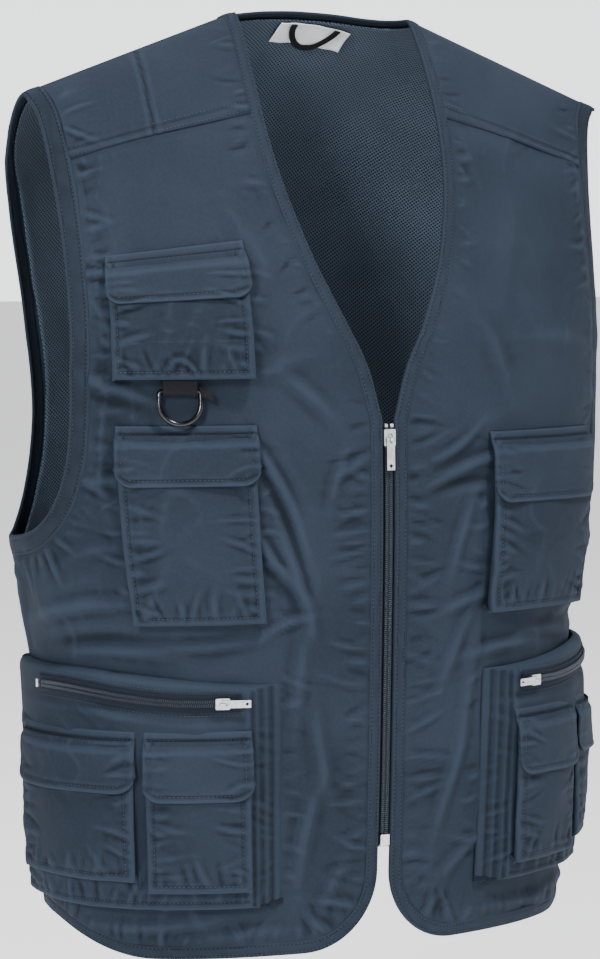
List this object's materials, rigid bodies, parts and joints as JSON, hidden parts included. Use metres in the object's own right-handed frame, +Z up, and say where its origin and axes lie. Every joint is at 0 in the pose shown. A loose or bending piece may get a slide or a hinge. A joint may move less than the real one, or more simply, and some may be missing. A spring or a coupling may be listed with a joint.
{
  "type": "utility work vest",
  "caption": "Sleeveless utility work vest with a deep V neck, a front zip, wide armholes, flapped chest pockets, large zipped hip pockets and a D-ring.",
  "frame": {"origin": "the point between the shoulders that carries the vest, level with the middle of the shoulder ridge", "axes": "+Z up, -Y towards the front of the vest, -X towards the wearer's right"},
  "size_m": [0.4938, 0.2578, 0.7022],
  "materials": {
    "twill": "firm navy twill, faint satin sheen",
    "binding": "navy twill folded over the edge, double stitched",
    "pocket": "navy twill pocket cloth",
    "mesh": "open diamond mesh, matt",
    "tape": "woven zip tape, matt",
    "coil": "dark nylon coil",
    "silver": "bright plated metal",
    "gunmetal": "dark plated metal, polished",
    "webbing": "black woven webbing",
    "label": "white woven label, bare"
  },
  "bodies": {
    "vest": {"front_right": "twill", "yoke_right": "twill", "armhole_band_right": "binding", "front_band_right": "binding", "front_left": "twill", "yoke_left": "twill", "armhole_band_left": "binding", "front_band_left": "binding", "back_panel": "twill", "back_lining": "mesh", "neck_band": "binding", "hem_band_back": "binding", "zip_tape_right": "tape", "zip_coil_right": "coil", "zip_top_stop_right": "silver", "zip_tape_left": "tape", "zip_coil_left": "coil", "zip_top_stop_left": "silver", "zip_box": "silver", "zip_slider": "silver", "chest_upper_bag": "pocket", "chest_upper_flap": "twill", "chest_lower_bag": "pocket", "chest_lower_flap": "twill", "chest_left_bag": "pocket", "chest_left_flap": "twill", "d_ring_tab": "webbing", "hip_right_bag": "pocket", "hip_right_inner_bag": "pocket", "hip_right_inner_flap": "twill", "hip_right_outer_bag": "pocket", "hip_right_outer_flap": "twill", "hip_right_zip_tape": "tape", "hip_right_zip_coil": "coil", "hip_right_zip_stop": "silver", "hip_right_zip_slider": "silver", "hip_left_bag": "pocket", "hip_left_inner_bag": "pocket", "hip_left_inner_flap": "twill", "hip_left_outer_bag": "pocket", "hip_left_outer_flap": "twill", "hip_left_zip_tape": "tape", "hip_left_zip_coil": "coil", "hip_left_zip_stop": "silver", "hip_left_zip_slider": "silver", "neck_label": "label", "hang_loop": "webbing"},
    "zip_pull": {"zip_pull": "silver"},
    "hip_right_zip_pull": {"hip_right_zip_pull": "silver"},
    "hip_left_zip_pull": {"hip_left_zip_pull": "silver"},
    "d_ring": {"d_ring": "gunmetal"}
  },
  "joints": [
    {"name": "zip_pull_swing", "type": "hinge", "parent": "vest", "child": "zip_pull", "pos_m": [0, -0.10553, -0.27118], "axis": [-1, 0, 0], "range_deg": [0, 150]},
    {"name": "hip_right_zip_pull_swing", "type": "hinge", "parent": "vest", "child": "hip_right_zip_pull", "pos_m": [-0.13389, -0.09734, -0.46048], "axis": [0, 0, -1], "range_deg": [0, 150]},
    {"name": "hip_left_zip_pull_swing", "type": "hinge", "parent": "vest", "child": "hip_left_zip_pull", "pos_m": [0.13389, -0.09734, -0.46048], "axis": [0, 0, 1], "range_deg": [0, 150]},
    {"name": "d_ring_swing", "type": "hinge", "parent": "vest", "child": "d_ring", "pos_m": [-0.16051, -0.08317, -0.23462], "axis": [-0.9355, 0.3535, 0], "range_deg": [0, 105]}
  ]
}
